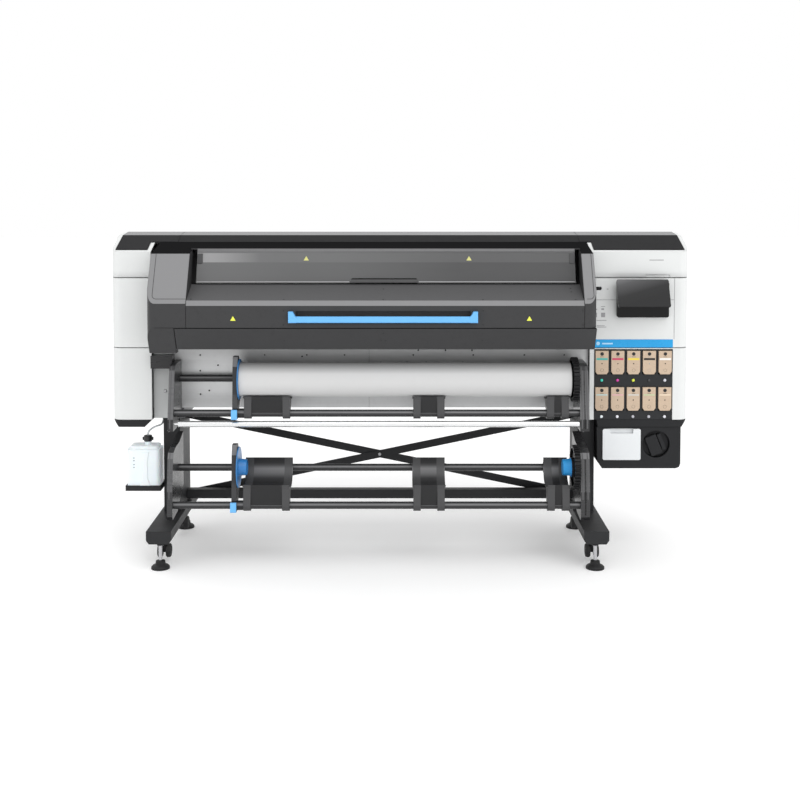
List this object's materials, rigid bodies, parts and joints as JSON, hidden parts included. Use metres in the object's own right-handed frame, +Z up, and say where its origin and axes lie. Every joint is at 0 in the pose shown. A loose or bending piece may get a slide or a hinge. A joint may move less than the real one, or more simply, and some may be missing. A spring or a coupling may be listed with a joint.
{
  "type": "wide-format roll-to-roll printer on a stand",
  "caption": "Wide-format roll-to-roll inkjet printer on a stand: lifting hood with window, ink bay, tilting screen, supply roll above and take-up reel below.",
  "frame": {"origin": "centre of the bounding box at floor level", "axes": "+X to the viewer's right, +Y to the back, +Z up; the operator stands at -Y"},
  "size_m": [2.583, 0.852, 1.437],
  "materials": {
    "graphite_steel": "satin black powder coat",
    "bolt_steel": "zinc plated",
    "foot_black": "black foot with steel rod",
    "caster_black": "black nylon",
    "wheel_rubber": "dark grey tread",
    "chassis_steel": "grey sheet metal",
    "plate_steel": "brushed",
    "white_cover": "fine textured white",
    "dark_cover": "dark grey",
    "tray_black": "black",
    "bay_grey": "dark grey with blue banner",
    "carton": "printed board with a colour band",
    "screen_black": "gloss black",
    "drawer_white": "white",
    "hood_grey": "dark grey satin",
    "window_smoke": "smoke tinted",
    "blue_grip": "blue",
    "fan_grey": "light grey",
    "rail_alu": "extruded",
    "roller_rubber": "ground rubber",
    "tube_black": "gloss black",
    "bar_silver": "bright",
    "media_white": "white media on a board core",
    "hub_black": "black",
    "flange_blue": "blue",
    "bottle_clear": "translucent with a black cap",
    "hose_clear": "clear tube"
  },
  "bodies": {
    "machine": {"base_beams": "graphite_steel", "stand_frame": "graphite_steel", "stand_bolts": "bolt_steel", "levelling_feet": "foot_black", "chassis": "chassis_steel", "front_plates": "plate_steel", "upper_shells": "white_cover", "side_covers": "white_cover", "top_covers": "dark_cover", "base_trays": "tray_black", "ink_bay": "bay_grey", "screen_bracket": "screen_black", "service_box": "tray_black", "lower_fascia": "hood_grey", "rear_cover": "dark_cover", "fan_panel": "fan_grey", "carriage_rail": "rail_alu", "reel_arms": "tube_black", "reel_tubes": "tube_black", "roll_cradles": "hub_black", "waste_bottle": "bottle_clear", "drain_hose": "hose_clear"},
    "hood": {"hood_frame": "hood_grey", "hood_band": "hood_grey", "hood_handle": "blue_grip"},
    "window": {"hood_window": "window_smoke"},
    "screen": {"touch_screen": "screen_black"},
    "power_button": {"power_button": "screen_black"},
    "drawer": {"waste_drawer": "drawer_white"},
    "rotary_chamber": {"rotary_chamber": "tray_black"},
    "carriage": {"print_carriage": "tray_black"},
    "drive_roller": {"drive_roller": "roller_rubber"},
    "tension_bar": {"tension_bar": "bar_silver"},
    "supply_roll": {"media_roll": "media_white", "supply_drive_disc": "hub_black"},
    "takeup_drive": {"takeup_drive_disc": "hub_black"},
    "supply_hub": {"supply_hub": "hub_black"},
    "takeup_hub": {"takeup_hub": "hub_black"},
    "supply_flange": {"supply_flange": "flange_blue"},
    "takeup_flange": {"takeup_flange": "flange_blue"},
    "supply_lever": {"supply_lock_lever": "blue_grip"},
    "takeup_lever": {"takeup_lock_lever": "blue_grip"},
    "caster_front_left": {"caster_fork_front_left": "caster_black"},
    "wheel_front_left": {"caster_wheel_front_left": "wheel_rubber"},
    "caster_front_right": {"caster_fork_front_right": "caster_black"},
    "wheel_front_right": {"caster_wheel_front_right": "wheel_rubber"},
    "caster_rear_left": {"caster_fork_rear_left": "caster_black"},
    "wheel_rear_left": {"caster_wheel_rear_left": "wheel_rubber"},
    "caster_rear_right": {"caster_fork_rear_right": "caster_black"},
    "wheel_rear_right": {"caster_wheel_rear_right": "wheel_rubber"},
    "cartridge_1": {"cartridge_1": "carton"},
    "cartridge_2": {"cartridge_2": "carton"},
    "cartridge_3": {"cartridge_3": "carton"},
    "cartridge_4": {"cartridge_4": "carton"},
    "cartridge_5": {"cartridge_5": "carton"},
    "cartridge_6": {"cartridge_6": "carton"},
    "cartridge_7": {"cartridge_7": "carton"},
    "cartridge_8": {"cartridge_8": "carton"},
    "cartridge_9": {"cartridge_9": "carton"},
    "cartridge_10": {"cartridge_10": "carton"}
  },
  "joints": [
    {"name": "hood_lift", "type": "hinge", "parent": "machine", "child": "hood", "pos_m": [0, -0.072, 1.397], "axis": [-1, 0, 0], "range_deg": [0, 30]},
    {"name": "window_lift", "type": "hinge", "parent": "hood", "child": "window", "pos_m": [0, -0.2135, 1.374], "axis": [-1, 0, 0], "range_deg": [0, 75]},
    {"name": "screen_tilt", "type": "hinge", "parent": "machine", "child": "screen", "pos_m": [1.072, -0.19812, 1.21541], "axis": [-1, 0, 0], "range_deg": [-12, 35]},
    {"name": "power_press", "type": "slide", "parent": "machine", "child": "power_button", "axis": [0, 1, 0], "range_m": [0, 0.002], "stiffness_N_per_m": 300},
    {"name": "drawer_slide", "type": "slide", "parent": "machine", "child": "drawer", "axis": [0, -1, 0], "range_m": [0, 0.16]},
    {"name": "chamber_turn", "type": "hinge", "parent": "machine", "child": "rotary_chamber", "pos_m": [1.1515, -0.166, 0.492], "axis": [0, -1, 0], "range_deg": [0, 90]},
    {"name": "carriage_travel", "type": "slide", "parent": "machine", "child": "carriage", "axis": [-1, 0, 0], "range_m": [0, 2]},
    {"name": "drive_roller_spin", "type": "hinge", "parent": "machine", "child": "drive_roller", "pos_m": [0, 0.022, 0.98], "axis": [1, 0, 0], "continuous": true},
    {"name": "tension_bar_spin", "type": "hinge", "parent": "machine", "child": "tension_bar", "pos_m": [0, -0.326, 0.617], "axis": [1, 0, 0], "continuous": true},
    {"name": "supply_spin", "type": "hinge", "parent": "machine", "child": "supply_roll", "pos_m": [0, -0.276, 0.805], "axis": [1, 0, 0], "continuous": true},
    {"name": "takeup_spin", "type": "hinge", "parent": "machine", "child": "takeup_drive", "pos_m": [0, -0.32, 0.426], "axis": [1, 0, 0], "continuous": true},
    {"name": "supply_hub_slide", "type": "slide", "parent": "machine", "child": "supply_hub", "axis": [-1, 0, 0], "range_m": [0, 0.2]},
    {"name": "supply_flange_spin", "type": "hinge", "parent": "supply_hub", "child": "supply_flange", "pos_m": [0, -0.276, 0.805], "axis": [1, 0, 0], "continuous": true},
    {"name": "supply_lever_turn", "type": "hinge", "parent": "supply_hub", "child": "supply_lever", "pos_m": [-0.719, -0.3385, 0.676], "axis": [-1, 0, 0], "range_deg": [0, 60]},
    {"name": "takeup_hub_slide", "type": "slide", "parent": "machine", "child": "takeup_hub", "axis": [-1, 0, 0], "range_m": [0, 0.2]},
    {"name": "takeup_flange_spin", "type": "hinge", "parent": "takeup_hub", "child": "takeup_flange", "pos_m": [0, -0.32, 0.426], "axis": [1, 0, 0], "continuous": true},
    {"name": "takeup_lever_turn", "type": "hinge", "parent": "takeup_hub", "child": "takeup_lever", "pos_m": [-0.719, -0.3825, 0.281], "axis": [-1, 0, 0], "range_deg": [0, 60]},
    {"name": "caster_swivel_front_left", "type": "hinge", "parent": "machine", "child": "caster_front_left", "pos_m": [-1.036, -0.304, 0.11], "axis": [0, 0, 1], "continuous": true},
    {"name": "wheel_roll_front_left", "type": "hinge", "parent": "caster_front_left", "child": "wheel_front_left", "pos_m": [-1.036, -0.292, 0.05], "axis": [1, 0, 0], "continuous": true},
    {"name": "caster_swivel_front_right", "type": "hinge", "parent": "machine", "child": "caster_front_right", "pos_m": [0.844, -0.304, 0.11], "axis": [0, 0, 1], "continuous": true},
    {"name": "wheel_roll_front_right", "type": "hinge", "parent": "caster_front_right", "child": "wheel_front_right", "pos_m": [0.844, -0.292, 0.05], "axis": [1, 0, 0], "continuous": true},
    {"name": "caster_swivel_rear_left", "type": "hinge", "parent": "machine", "child": "caster_rear_left", "pos_m": [-1.036, 0.13, 0.11], "axis": [0, 0, 1], "continuous": true},
    {"name": "wheel_roll_rear_left", "type": "hinge", "parent": "caster_rear_left", "child": "wheel_rear_left", "pos_m": [-1.036, 0.142, 0.05], "axis": [1, 0, 0], "continuous": true},
    {"name": "caster_swivel_rear_right", "type": "hinge", "parent": "machine", "child": "caster_rear_right", "pos_m": [0.844, 0.13, 0.11], "axis": [0, 0, 1], "continuous": true},
    {"name": "wheel_roll_rear_right", "type": "hinge", "parent": "caster_rear_right", "child": "wheel_rear_right", "pos_m": [0.844, 0.142, 0.05], "axis": [1, 0, 0], "continuous": true},
    {"name": "cartridge_1_slide", "type": "slide", "parent": "machine", "child": "cartridge_1", "axis": [0, -1, 0], "range_m": [0, 0.24]},
    {"name": "cartridge_2_slide", "type": "slide", "parent": "machine", "child": "cartridge_2", "axis": [0, -1, 0], "range_m": [0, 0.24]},
    {"name": "cartridge_3_slide", "type": "slide", "parent": "machine", "child": "cartridge_3", "axis": [0, -1, 0], "range_m": [0, 0.24]},
    {"name": "cartridge_4_slide", "type": "slide", "parent": "machine", "child": "cartridge_4", "axis": [0, -1, 0], "range_m": [0, 0.24]},
    {"name": "cartridge_5_slide", "type": "slide", "parent": "machine", "child": "cartridge_5", "axis": [0, -1, 0], "range_m": [0, 0.24]},
    {"name": "cartridge_6_slide", "type": "slide", "parent": "machine", "child": "cartridge_6", "axis": [0, -1, 0], "range_m": [0, 0.24]},
    {"name": "cartridge_7_slide", "type": "slide", "parent": "machine", "child": "cartridge_7", "axis": [0, -1, 0], "range_m": [0, 0.24]},
    {"name": "cartridge_8_slide", "type": "slide", "parent": "machine", "child": "cartridge_8", "axis": [0, -1, 0], "range_m": [0, 0.24]},
    {"name": "cartridge_9_slide", "type": "slide", "parent": "machine", "child": "cartridge_9", "axis": [0, -1, 0], "range_m": [0, 0.24]},
    {"name": "cartridge_10_slide", "type": "slide", "parent": "machine", "child": "cartridge_10", "axis": [0, -1, 0], "range_m": [0, 0.24]}
  ],
  "couplings": [
    {"joint": "supply_flange_spin", "follows": "supply_spin", "ratio": 1}
  ]
}
